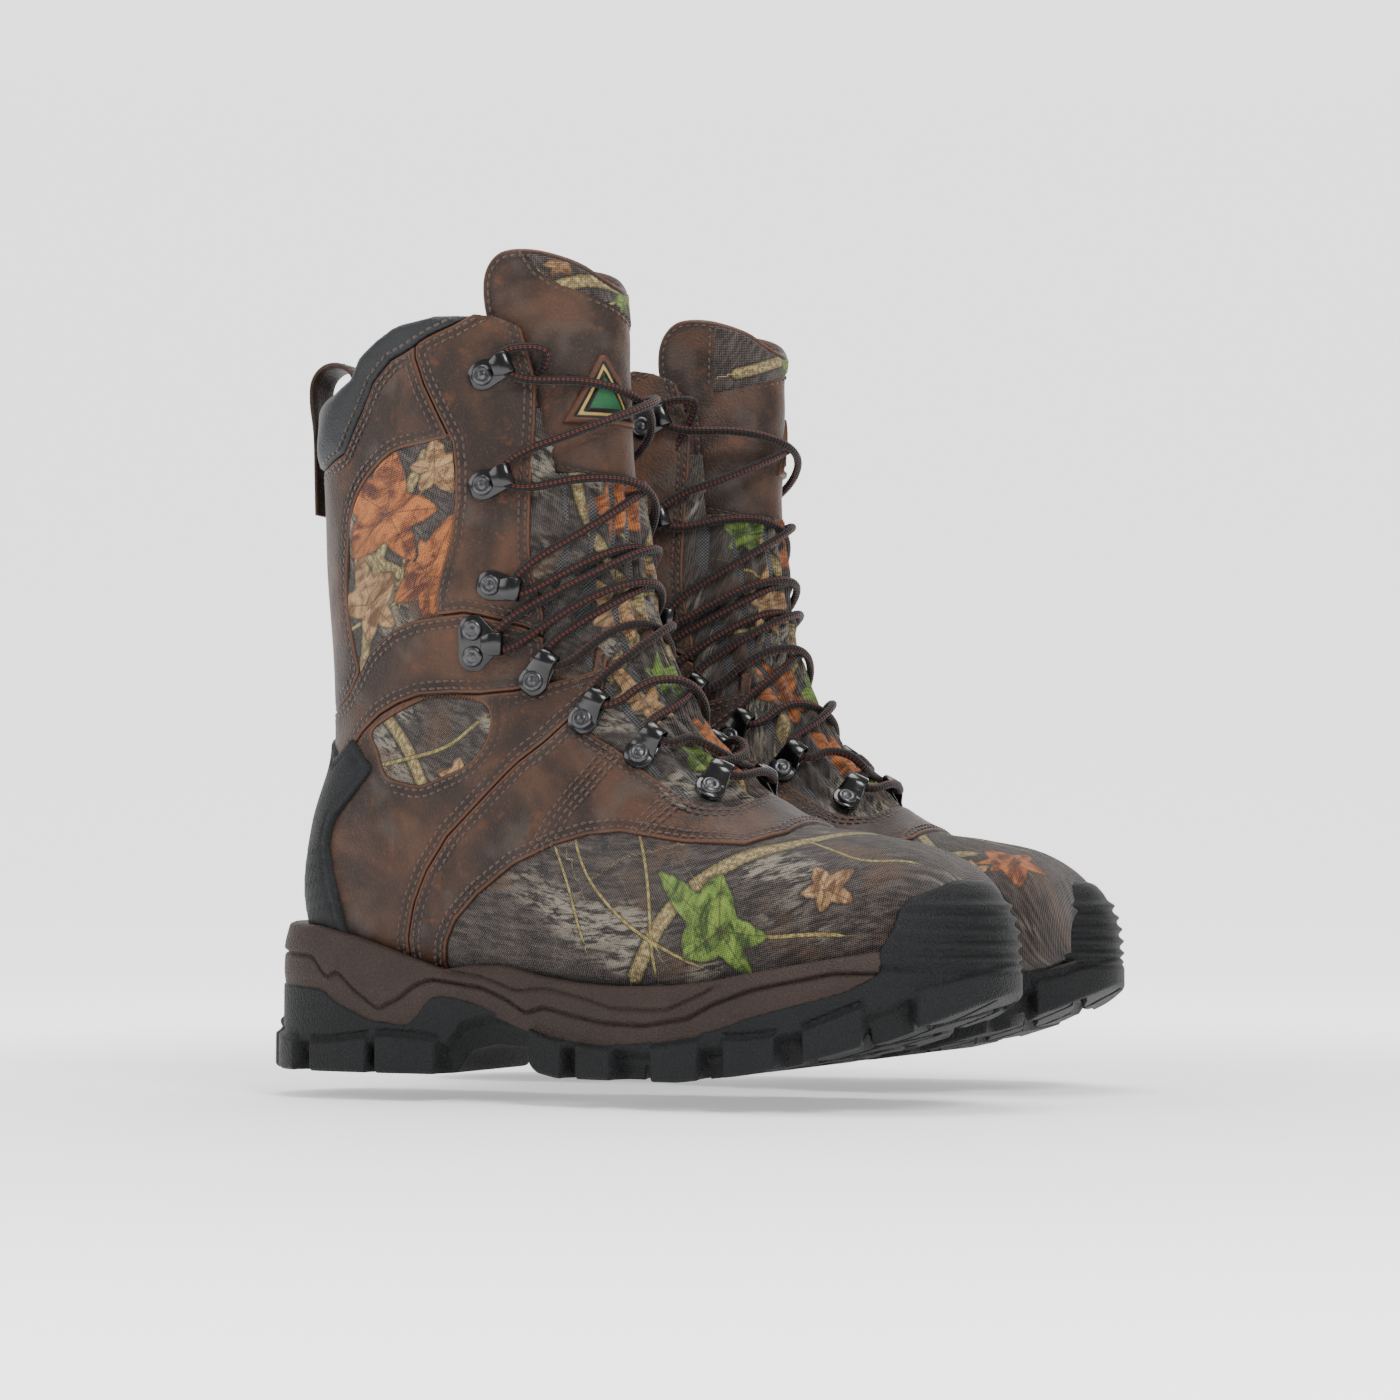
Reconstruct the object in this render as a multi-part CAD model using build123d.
from build123d import *
import math
import os

os.makedirs("parts", exist_ok=True)

# ---------------------------------------------------------------- driving dimensions (mm)
PAIR_SPACING = 142.8      # centre line to centre line of the two boots
SKIN = 2.4                # leather, fabric and collar layer
LINER_IN = 8.0            # depth of the liner's inner face below the outer surface
GAP = 0.2                 # between layers
LACE_R = 1.9              # round lace
WRAP_R = 3.4              # lace bend inside a hook or loop
PLATE_T = 1.0             # hook and loop sheet
RIVET_R = 1.6
RIVET_HEAD_R = 4.2
LOOP_HEAD_R = 3.0         # smaller head beside the fold of a loop
PLATE_R = 5.6             # round end of a hook or loop
HALF_PLATE = 4.5
FOLD_TOP = 6.6            # height of a fold over the lace
LUG_DEPTH = 5.0           # tread channels
SMALLEST = 15.0           # volume in mm3 below which a scrap of a cut is dropped
TONGUE_A = 30.0           # tongue half width
TONGUE_B = 49.0           # tongue half depth
TONGUE_Y = 45.0
TONGUE_T = 6.0
HINGE_Z = 284.3           # tongue flap folds here
FOOTBED_T = 6.0

# Sections of the boot's skin in its own frame: front/top point y z, back/bottom point y z,
# half width, centre offset, squareness of the top half and of the bottom half.
SECTIONS = [
    (-147.0, 66.0, -146.0, 40.0, 25.0, 9.0, 2.4, 3.0),
    (-140.0, 79.0, -136.0, 36.0, 37.0, 9.0, 2.3, 3.4),
    (-124.0, 89.0, -119.0, 32.0, 45.5, 8.5, 2.3, 3.8),
    (-100.0, 94.5, -92.0, 28.5, 50.5, 6.5, 2.2, 4.0),
    (-76.0, 99.0, -62.0, 27.0, 52.0, 3.5, 2.1, 4.0),
    (-56.0, 110.0, -28.0, 27.0, 50.5, 1.0, 2.0, 4.0),
    (-40.0, 125.0, 8.0, 28.0, 46.5, 0.0, 2.0, 4.0),
    (-26.0, 143.0, 48.0, 30.5, 43.0, 0.0, 2.1, 3.8),
    (-20.5, 153.0, 70.0, 32.3, 42.0, 0.0, 2.15, 3.7),
    (-15.0, 163.0, 92.0, 34.5, 41.0, 0.0, 2.2, 3.6),
    (-9.0, 180.0, 127.0, 38.5, 40.0, 0.0, 2.2, 3.2),
    (-8.0, 187.0, 137.0, 48.0, 40.0, 0.0, 2.2, 3.0),
    (-7.0, 193.0, 141.0, 64.0, 40.0, 0.0, 2.2, 2.8),
    (-6.0, 205.0, 140.0, 94.0, 41.0, 0.0, 2.2, 2.4),
    (-5.0, 217.0, 131.5, 122.0, 42.5, 0.0, 2.2, 2.2),
    (-4.0, 230.0, 131.0, 150.0, 43.5, 0.0, 2.2, 2.2),
    (-4.0, 244.0, 133.0, 182.0, 45.0, 0.0, 2.2, 2.2),
    (-3.0, 258.0, 135.0, 214.0, 46.0, 0.0, 2.2, 2.2),
    (-2.0, 272.0, 136.0, 246.0, 46.5, 0.0, 2.2, 2.2),
    (-1.0, 288.0, 134.0, 274.0, 47.0, 0.0, 2.2, 2.2),
    (1.0, 305.0, 133.0, 301.0, 47.0, 0.0, 2.2, 2.2),
]


INSTEP = 7                # section where the foot meets the ankle
SHAFT_FOOT = 14           # section where the ankle meets the shaft


# ---------------------------------------------------------------- boot skin
def inset(st, t):
    """A section moved inwards by t, as front y z, back y z, half width, offset, squareness."""
    fy, fz, by, bz, w, cx, nt, nb = st
    run = math.hypot(by - fy, bz - fz)
    uy = (by - fy) / run
    uz = (bz - fz) / run
    return (fy + uy * t, fz + uz * t, by - uy * t, bz - uz * t, w - t, cx, nt, nb)


def section_point(st, th):
    """Point at angle th of a section; 0 is its front or top."""
    fy, fz, by, bz, w, cx, nt, nb = st
    a = math.cos(th)
    b = math.sin(th)
    n = nt if a > 0 else nb
    pa = math.copysign(abs(a) ** (2 / n), a)
    pb = math.copysign(abs(b) ** (2 / n), b)
    return (
        cx + w * pb,
        (fy + by) / 2 + (fy - by) / 2 * pa,
        (fz + bz) / 2 + (fz - bz) / 2 * pa,
    )


def section_wire(st, count=26):
    """Closed smooth wire round a section, its points evenly spaced."""
    dense = [section_point(st, 2 * math.pi * k / 720) for k in range(721)]
    runs = [0.0]
    for p, q in zip(dense[:-1], dense[1:]):
        runs.append(runs[-1] + math.dist(p, q))
    pts = []
    j = 0
    for i in range(count):
        want = runs[-1] * i / count
        while runs[j + 1] < want:
            j += 1
        f = (want - runs[j]) / max(runs[j + 1] - runs[j], 1e-9)
        pts.append(Vector(*[a + (b - a) * f for a, b in zip(dense[j], dense[j + 1])]))
    return Wire([Edge.make_spline(pts, periodic=True)])


def stretches(t):
    """Toe to instep, ankle and shaft of the solid inside the skin moved inwards by t."""
    rows = []
    for i, st in enumerate(SECTIONS):
        s = list(inset(st, t))
        if i == 0:
            s[0] += t
            s[2] += t
        if i == len(SECTIONS) - 1 and t > 0:
            s[1] += 6
            s[3] += 6
        rows.append(section_wire(tuple(s)))
    instep = rows[:INSTEP + 1]
    ankle = rows[INSTEP:SHAFT_FOOT + 1]
    shaft = rows[SHAFT_FOOT:]
    return [Solid.make_loft(instep), Solid.make_loft(ankle), Solid.make_loft(shaft)]


def body(t):
    a, b, c = stretches(t)
    return a + b + c


def hollow(shape, t):
    """A shape with the solid inside the skin cut away."""
    for s in stretches(t):
        shape = shape - s
    return shape


def station(v):
    """Section at a fractional index."""
    i = max(0, min(len(SECTIONS) - 2, int(v)))
    f = v - i
    return tuple(a + (b - a) * f for a, b in zip(SECTIONS[i], SECTIONS[i + 1]))


def locate(y, z):
    """Fractional index and angle of the skin point seen at y z from the side."""
    def miss(v):
        s = station(v)
        return (z - s[1]) * (s[2] - s[0]) - (y - s[0]) * (s[3] - s[1])
    lo = 0.0
    hi = len(SECTIONS) - 1.0
    sign = miss(lo)
    for _ in range(60):
        mid = (lo + hi) / 2
        if miss(mid) * sign > 0:
            lo = mid
        else:
            hi = mid
    s = station(lo)
    run = math.hypot(s[2] - s[0], s[3] - s[1])
    along = ((y - s[0]) * (s[2] - s[0]) + (z - s[1]) * (s[3] - s[1])) / run
    pa = max(-1.0, min(1.0, 1 - 2 * along / run))
    n = s[6] if pa > 0 else s[7]
    return lo, math.acos(math.copysign(abs(pa) ** (n / 2), pa))


def skin_point(v, th):
    return Vector(*section_point(station(v), th))


def skin_normal(v, th):
    """Outward direction of the skin."""
    d = 0.02
    pu = skin_point(v + d, th) - skin_point(v - d, th)
    pt = skin_point(v, th + d) - skin_point(v, th - d)
    n = pu.cross(pt).normalized()
    s = station(v)
    mid = Vector(s[5], (s[0] + s[2]) / 2, (s[1] + s[3]) / 2)
    return n if n.dot(skin_point(v, th) - mid) > 0 else n * -1


# ---------------------------------------------------------------- helpers
def prism(pts, half=90.0):
    """Side-view outline in y z carried across the boot."""
    pts = [p for i, p in enumerate(pts) if p != pts[i - 1]]
    face = Plane.YZ * make_face(Polyline(*pts, close=True))
    return extrude(face, amount=half, both=True)


def solids_of(shape):
    return [s for s in shape.solids() if s.volume > SMALLEST]


def group(parts):
    return Compound(children=[s for p in parts for s in solids_of(p)])


def slab(outline, z0, z1):
    face = Plane.XY.offset(z0) * make_face(Spline(*outline, periodic=True))
    return extrude(face, amount=z1 - z0)


def inwards(outline, t):
    """Outline pulled in by about t."""
    cx = sum(p[0] for p in outline) / len(outline)
    cy = sum(p[1] for p in outline) / len(outline)
    wx = (max(p[0] for p in outline) - min(p[0] for p in outline)) / 2
    wy = (max(p[1] for p in outline) - min(p[1] for p in outline)) / 2
    return [(cx + (x - cx) * (wx - t) / wx, cy + (y - cy) * (wy - t) / wy) for x, y in outline]


# ---------------------------------------------------------------- outlines
SOLE = [
    (9, -158), (-15, -154), (-35, -138), (-49, -112), (-56, -80), (-57, -48), (-53, -14),
    (-46, 22), (-42, 56), (-42, 90), (-40, 120), (-33, 143), (-18, 155), (0, 158),
    (18, 155), (32, 143), (37, 120), (37, 90), (37, 56), (39, 22), (45, -14),
    (51, -48), (54, -80), (51, -112), (42, -138), (28, -153),
]
OUTSOLE_TOP = [
    (170, 36), (121, 33), (112, 27), (97, 21), (80, 19), (75, 23), (70, 30), (63, 31), (49, 28),
    (31, 21), (15, 16), (-3, 13.5), (-23, 14), (-40, 16), (-60, 20), (-74, 25), (-97, 31),
    (-110, 35), (-120, 41),
]
TREAD = [
    (170, 0), (62, 0), (56, 9), (44, 12), (28, 11), (20, 2), (10, 0), (-45, 0), (-70, 3),
    (-95, 8.5), (-120, 16), (-140, 24), (-152, 30), (-170, 42),
]
MIDSOLE_TOP = [
    (170, 61), (125, 58), (106, 54), (83, 47), (65, 41), (53, 43), (38, 43), (21, 39), (3, 36.5),
    (-15, 35.5), (-39, 36), (-57, 38), (-67, 40), (-84, 43), (-101, 46), (-117, 48.5),
    (-127, 51), (-170, 51),
]
BUMPER = [
    (-120, 41), (-120.5, 48.8), (-125, 55), (-128, 65), (-132, 69), (-141, 73), (-147, 76),
    (-152, 73), (-155, 66), (-158.5, 50), (-170, 30), (-152, 28), (-140, 24),
]
FEATHER = [
    (-170, 46), (-146, 43.5), (-136, 39.5), (-119, 35), (-92, 31), (-62, 29.5), (-28, 29.5),
    (8, 30.5), (48, 33), (92, 37), (126, 42), (150, 50), (170, 50),
]
THROAT = [
    (26, 320), (26, 268), (27, 236), (28, 208), (25.5, 190), (23.5, 178), (23, 158), (18, 145),
    (9, 137.5), (0, 131.5), (-9, 126), (-17, 120), (-31, 111), (-41, 105.5), (-51, 104),
    (-58, 108), (-75, 140), (-60, 320),
]
VAMP_EDGE = [
    (66, 43), (64, 51), (59, 60), (49, 70), (32, 82), (15, 89), (0, 93), (-14, 94), (-42, 90),
    (-64, 89), (-76, 94), (-81, 110),
]
STRAP_SEAM = [(7, 143), (21, 130), (32, 122), (47, 108), (63, 93), (72, 80), (78, 67), (82, 53), (84, 30)]
WINDOW = [
    (45, 140), (48, 145), (59, 147), (72, 147), (81, 144), (90, 140), (98, 135), (95, 128),
    (91, 118), (83, 115), (75, 114), (66, 117), (56, 121), (49, 127), (45.5, 134),
]
BAND_TOP = [
    (15, 169), (24, 171), (31, 175), (41, 178), (54, 181), (67, 180), (76, 179), (87, 175.5),
    (94, 171), (100, 166.5), (104, 161), (112, 151), (122, 145), (160, 143),
]
BAND_BOTTOM = [
    (160, 118), (120, 119), (114, 124), (108, 130), (103, 135.5), (94, 142), (85, 146),
    (75, 149), (62, 149.5), (49, 149), (35, 150), (26, 152), (15, 156),
]
SHAFT_PANEL = [
    (60, 249), (71, 248), (84, 246), (94, 240), (102, 233), (107, 224), (110, 209), (111, 188),
    (105, 159.5), (100, 166.5), (94, 171), (87, 175.5), (76, 179), (66, 180.2), (67, 185),
    (64, 196), (59, 211), (57, 229), (58, 240),
]
EYESTAY_REAR = [
    (74, 320), (74, 283), (70, 272), (64, 260), (58, 248), (57, 237), (57, 225), (59, 211),
    (62, 202), (66, 190), (67, 170),
]
COLLAR_TOP = [
    (160, 273), (117, 274), (107, 278), (102, 286), (93, 292), (84, 295.5), (66, 297), (41, 297),
    (33, 294), (26, 288), (24, 284), (-40, 284),
]
PAD_EDGE = [(70, 291), (78, 286), (86, 283), (95, 275), (101, 264), (106, 257), (112, 248), (125, 244), (160, 243)]
STABILISER = [
    (118, 126), (108, 133), (97, 121), (99, 117), (108, 109), (117, 101), (119, 96), (120, 90),
    (118, 80), (115, 70), (110, 50), (170, 50), (170, 136), (130, 136),
]

# ---------------------------------------------------------------- layers
outer = body(0.0)
liner_out = body(SKIN + GAP)

below_collar = prism([(160, 0), (-200, 0)] + COLLAR_TOP[::-1])
below_feather = prism(FEATHER + [(170, 0), (-170, 0)])
throat = prism(THROAT)
skin = hollow(outer, SKIN) & below_collar

nodes = {}
nodes["insole_board"] = skin & below_feather
wall = skin - below_feather

gusset_low = prism([(-100, 90), (40, 90), (40, 236), (-100, 236)])
gusset_strip = prism([(20, 230), (40, 230), (40, 262), (20, 262)])
front = wall & throat
nodes["tongue_gusset"] = (front & gusset_low) + (front & gusset_strip)
wall = wall - throat

vamp = prism(VAMP_EDGE + [(-175, 120), (-175, 10), (66, 10)])
nodes["vamp_fabric"] = wall & vamp
wall = wall - vamp

band = prism(BAND_TOP + BAND_BOTTOM)
nodes["ankle_band"] = wall & band
wall = wall - band

low = prism([(-200, 0), (-200, 160), (15, 160), (15, 156)] + BAND_BOTTOM[::-1] + [(160, 0)])
low_wall = wall & low
high_wall = wall - low
window = prism(WINDOW)
nodes["ankle_window"] = low_wall & window
low_wall = low_wall - window
front_low = prism([(-200, 0), (-200, 200), (0, 200), (0, 149)] + STRAP_SEAM + [(84, 0)])
nodes["quarter_leather"] = low_wall & front_low
nodes["heel_quarter"] = low_wall - front_low

panel = prism(SHAFT_PANEL)
nodes["shaft_panel"] = high_wall & panel
high_wall = high_wall - panel
stay = prism([(0, 320), (0, 160)] + EYESTAY_REAR[::-1])
nodes["eyestay"] = high_wall & stay
high_wall = high_wall - stay
pad = prism(PAD_EDGE + [(160, 320), (70, 320)])
nodes["collar_pad"] = high_wall & pad
nodes["collar_leather"] = high_wall - pad

# liner, open at the front above the tongue gusset
liner = hollow(liner_out, LINER_IN) & below_collar
liner = liner - prism([(-60, 236), (40, 236), (42, 330), (-60, 330)])
counter_zone = prism([(80, 47), (84, 80), (108, 118), (150, 118), (150, 47)])
nodes["heel_counter"] = hollow(liner_out & counter_zone, SKIN + 1.8)
wide_zone = prism([(79.8, 46.8), (83.8, 80.2), (107.8, 118.3), (152, 118.3), (152, 46.8)])
liner = liner - hollow(liner_out & wide_zone, SKIN + 2.0)
nodes["liner"] = liner

# removable footbed on the liner's floor
bed_top = [
    (-134, 52.5), (-119, 48), (-92, 44), (-62, 42.5), (-28, 42.5), (8, 43.5), (48, 46), (92, 50.5),
    (118, 55), (136, 60),
]
bed = prism(bed_top + [(136, 30), (-134, 30)])
bed_parts = [b & bed for b in stretches(9.2)[:2]]
nodes["footbed"] = bed_parts[0] + bed_parts[1]

# heel stabiliser over the skin
stab = hollow(body(-2.6) & prism(STABILISER), -0.25)
nodes["heel_stabiliser"] = stab

# ---------------------------------------------------------------- sole
rough_sole = slab(SOLE, -2, 90)
tread_cut = prism(TREAD + [(-170, -20), (170, -20)])
out_zone = prism(OUTSOLE_TOP + [(-120, -20), (170, -20)]) + prism(BUMPER + [(-120, 16)])
toe_zone = prism([(-120, 41), (-120, 5), (-175, 5), (-170, 60), (-158.5, 50), (-140, 45)])
outsole = (rough_sole & (out_zone + toe_zone)) - tread_cut
outsole = hollow(outsole, -GAP)
channels = []
for k, y in enumerate([-132, -112, -92, -72, -52, -32, -12, 82, 104, 126, 144]):
    skew = 10 if k % 2 else -10
    base = 0.0 if y > -50 else max(0.0, (-y - 50) * 0.24)
    channels.append(Pos(0, y, base) * Rot(0, 0, skew) * Box(150, 5, 2 * LUG_DEPTH))
for x, y0, y1 in ((-17, -125, 8), (17, -125, 8), (-14, 72, 140), (14, 72, 140)):
    channels.append(Pos(x, (y0 + y1) / 2, 0) * Box(4, y1 - y0, 8))
for c in channels:
    outsole = outsole - c
nodes["outsole"] = outsole

mid_zone = prism(MIDSOLE_TOP + [(-170, 20), (-119.8, 20), (-119.8, 40.8)] + OUTSOLE_TOP[::-1][1:] )
midsole = slab(inwards(SOLE, 1.6), 5, 80) & mid_zone
midsole = hollow(midsole, -GAP)
midsole = midsole - stab
midsole = midsole - prism([(-170, 80), (-119.8, 80), (-119.8, 20), (-170, 20)])
shank_place = Pos(0, -4, 25.95) * Rot(2.05, 0, 0)
pocket = shank_place * Box(20.4, 92.4, 2.4)
nodes["shank"] = shank_place * Box(20, 92, 2)
nodes["midsole"] = midsole - pocket

# ---------------------------------------------------------------- pull loop
loop_out = [(140.8, 232), (142.5, 262), (145.5, 277), (144, 286), (138, 290), (130, 289), (124, 283), (122.2, 270), (122.2, 255)]
loop_in = [(138.4, 232), (140.2, 262.3), (143.2, 277), (142, 284.5), (137.5, 287.6), (131, 286.8), (126.2, 282), (124.6, 270), (124.6, 255)]
nodes["pull_loop"] = prism(loop_out + loop_in[::-1], 9.0)


# ---------------------------------------------------------------- tongue
def tongue_tube(grow, thick):
    """Leaning oval tube, its outer face moved out by grow."""
    def oval(g):
        low_face = Plane.XY.offset(230) * Pos(0, TONGUE_Y, 0) * Ellipse(TONGUE_A + g, TONGUE_B + g)
        top_face = Plane.XY.offset(330) * Pos(-6, TONGUE_Y + 1, 0) * Ellipse(TONGUE_A + g, TONGUE_B + g)
        return loft([low_face, top_face])
    return oval(grow) - oval(grow - thick)


tube = tongue_tube(0, TONGUE_T)
nodes["tongue_shield"] = tube & prism([(-12, 236.6), (27, 236.6), (30, 283.8), (-12, 283.8)])
FLAP = [
    (-12, HINGE_Z + 0.3), (36, HINGE_Z + 0.3), (54, 296), (60, 304), (60, 315), (56, 322), (48, 325),
    (36, 324), (18, 319), (5, 310), (0, 299), (-12, 292),
]
nodes["tongue_flap"] = tube & prism(FLAP)
cover = tongue_tube(1.4, 1.2)
nodes["tongue_badge"] = cover & extrude(
    Plane.XZ.offset(30) * make_face(Polyline((-17, 256), (11, 256), (-2, 283), (-4, 283), close=True)), amount=-45
)
nodes["tongue_patch"] = cover & prism([(-12, 288), (14, 288), (24, 310), (20, 316), (8, 308.5), (2.5, 299), (-12, 291)])


# ---------------------------------------------------------------- lace hardware
# rivet y z, heading y z of the lace end, kind
HARDWARE = [
    (-44.0, 110.0, -0.45, 0.89, "loop"),
    (-17.0, 123.5, -0.55, 0.84, "loop"),
    (6.0, 137.6, -0.58, 0.81, "loop"),
    (27.0, 153.4, -0.6, 0.8, "loop"),
    (51.0, 169.0, -1.0, -0.05, "lock"),
    (43.0, 191.5, -0.97, -0.2, "hook"),
    (45.3, 230.7, -0.95, 0.3, "hook"),
    (45.4, 274.2, -0.93, 0.37, "hook"),
]
LIFT = 0.45


def seat(row, side):
    """Frame on the skin: x towards the throat, y upwards along the edge, z outwards."""
    y, z, dy, dz, kind = row
    v, th = locate(y, z)
    th = th * side
    p = skin_point(v, th)
    n = skin_normal(v, th)
    away = Vector(0, dy, dz)
    fwd = (away - n * away.dot(n)).normalized()
    up = n.cross(fwd)
    if up.Z < 0:
        up = up * -1
    return p + n * LIFT, fwd, up, n


def at(frame, f, t, n):
    p, fwd, up, out = frame
    return p + fwd * f + up * t + out * n


def sheet(frame, pts, half):
    """Bent sheet: f n outline swept across t by half each way."""
    p, fwd, up, out = frame
    zdir = fwd.cross(out)
    base = Plane(origin=p - zdir * half, x_dir=fwd, z_dir=zdir)
    return extrude(base * make_face(Polyline(*pts, close=True)), amount=2 * half)


def round_plate(frame, f, t, radius, n0, n1):
    p, fwd, up, out = frame
    base = Plane(origin=at(frame, f, t, n0), x_dir=fwd, z_dir=out)
    return extrude(base * Circle(radius), amount=n1 - n0)


def hook_sheet(closed):
    top = FOLD_TOP
    inner = top - PLATE_T
    if closed:
        return [
            (0, 0), (12, 0), (13, 1), (13, top - 1), (12, top), (6.8, top), (3.2, 2 * PLATE_T + 0.1),
            (0, 2 * PLATE_T + 0.1), (0, PLATE_T + 0.05), (3.6, PLATE_T + 0.05), (7.0, inner), (11.9, inner),
            (11.9, PLATE_T), (0, PLATE_T),
        ]
    return [
        (0, 0), (12, 0), (13, 1), (13, top - 1), (12, top), (5.6, top), (5.6, inner),
        (11.9, inner), (11.9, PLATE_T), (0, PLATE_T),
    ]


hooks = []
locks = []
loops = []
rivets = []
holes = []
frames = {}
for i, row in enumerate(HARDWARE):
    for side in (-1, 1):
        fr = seat(row, side)
        frames[(i, side)] = fr
        kind = row[4]
        lift = 2 * PLATE_T + 0.1 if kind == "loop" else PLATE_T
        spots = [(0, 0)] if kind != "lock" else [(0, 5.2), (0, -5.2)]
        if kind == "loop":
            head_r = LOOP_HEAD_R
            made = sheet(fr, hook_sheet(True), HALF_PLATE)
        else:
            head_r = RIVET_HEAD_R
            made = sheet(fr, hook_sheet(False), HALF_PLATE)
        for f, t in spots:
            made = made + round_plate(fr, f, t, PLATE_R, 0, lift)
        for f, t in spots:
            made = made - round_plate(fr, f, t, RIVET_R + 0.1, -2, 8)
            shank_part = round_plate(fr, f, t, RIVET_R, -2.2, lift + 0.2)
            head = round_plate(fr, f, t, head_r, lift + 0.05, lift + 1.2)
            rivets.append(shank_part + head)
            holes.append(round_plate(fr, f, t, RIVET_R + 0.15, -4.5, 2))
        {"loop": loops, "hook": hooks, "lock": locks}[kind].append(made)

nodes["lace_hooks"] = group(hooks)
nodes["lock_hooks"] = group(locks)
nodes["lace_loops"] = group(loops)
nodes["rivets"] = group(rivets)
for name in ("eyestay", "quarter_leather", "ankle_band", "heel_quarter", "liner", "tongue_gusset"):
    shape = nodes[name]
    for h in holes:
        shape = shape - h
    nodes[name] = shape


# ---------------------------------------------------------------- laces
def wrap(i, side, down):
    """Lace through a hook or loop, top to bottom when down."""
    fr = frames[(i, side)]
    pts = [at(fr, 8.7, 7.0, 3.3), at(fr, 8.7, -7.0, 3.3)]
    return pts if down else pts[::-1]


def crossing(i, a, j, b, lift):
    """Points over the tongue from hardware i on side a to hardware j on side b."""
    vi, ti = locate(*front_spot(i))
    vj, tj = locate(*front_spot(j))
    pts = []
    for f, up in ((0.24, 0.35), (0.5, 1.0), (0.76, 0.35)):
        v = vi + (vj - vi) * f
        th = ti * a + (tj * b - ti * a) * f
        p = skin_point(v, th)
        n = skin_normal(v, th)
        pts.append(p + n * (LACE_R + 0.5 + lift * up))
    return pts


def front_spot(i):
    y, z, dy, dz, kind = HARDWARE[i]
    return (y + dy * 12, z + dz * 12)


route = []
radii = []


def add(pts, r):
    for p in pts:
        route.append(p)
        radii.append(r)


TUCK = [(38.5, 19.5, 285.5), (33.8, 24.5, 277.0), (33.8, 33.5, 264.0), (33.8, 34.0, 253.0)]
top = len(HARDWARE) - 1
side = -1
add([Vector(side * x, y, z) for x, y, z in TUCK[::-1]], 5.0)
for i in range(top, 0, -1):
    add(wrap(i, side, True), WRAP_R)
    add(crossing(i, side, i - 1, -side, 0.0), 9.0)
    side = -side
add(wrap(0, side, True), WRAP_R)
lo_a = frames[(0, side)]
lo_b = frames[(0, -side)]
mid_bar = (at(lo_a, 13, -9, 4.5) + at(lo_b, 13, -9, 4.5)) * 0.5 + Vector(0, -1.0, 2.5)
add([mid_bar], 20.0)
side = -side
add(wrap(0, side, False), WRAP_R)
for i in range(0, top):
    add(crossing(i, side, i + 1, -side, 4.4), 9.0)
    side = -side
    add(wrap(i + 1, side, False), WRAP_R)
add([Vector(side * x, y, z) for x, y, z in TUCK], 5.0)

fit = []
for k in range(1, len(route) - 1):
    u = route[k] - route[k - 1]
    w = route[k + 1] - route[k]
    turn = math.radians(u.get_angle(w))
    room = 0.45 * min(u.length, w.length) / max(math.tan(turn / 2), 1e-6)
    fit.append(max(min(room, radii[k] * 3 if radii[k] > WRAP_R else WRAP_R), 0.5))
print("lace radii", round(min(fit), 2), round(max(fit), 2))
spine = FilletPolyline(*route, radius=fit)
lace = sweep(Plane(origin=spine @ 0, z_dir=spine % 0) * Circle(LACE_R), path=spine, transition=Transition.RIGHT)
print("lace length", round(spine.length, 1), "volume ratio", round(lace.volume / (spine.length * math.pi * LACE_R ** 2), 4))
nodes["laces"] = lace
tips = []
for k, m in ((0, 1), (-1, -2)):
    end = route[k]
    away = (route[k] - route[m]).normalized()
    tips.append(extrude(Plane(origin=end + away * 0.3, z_dir=away) * Circle(1.7), amount=13.0))
nodes["aglets"] = group(tips)

# ---------------------------------------------------------------- both boots
for name, shape in nodes.items():
    parts = solids_of(shape)
    if not parts:
        print("EMPTY", name)
        continue
    right = [Pos(-PAIR_SPACING / 2, 0, 0) * s for s in parts]
    left = [s.mirror(Plane.YZ) for s in right]
    for tag, made in (("right", right), ("left", left)):
        out = made[0] if len(made) == 1 else Compound(children=made)
        out.label = tag + "_" + name
        export_step(out, "parts/" + tag + "_" + name + ".step")
    box = Compound(children=right).bounding_box()
    print(name, len(parts), round(sum(s.volume for s in parts)), [round(c, 1) for c in (*box.min, *box.max)])
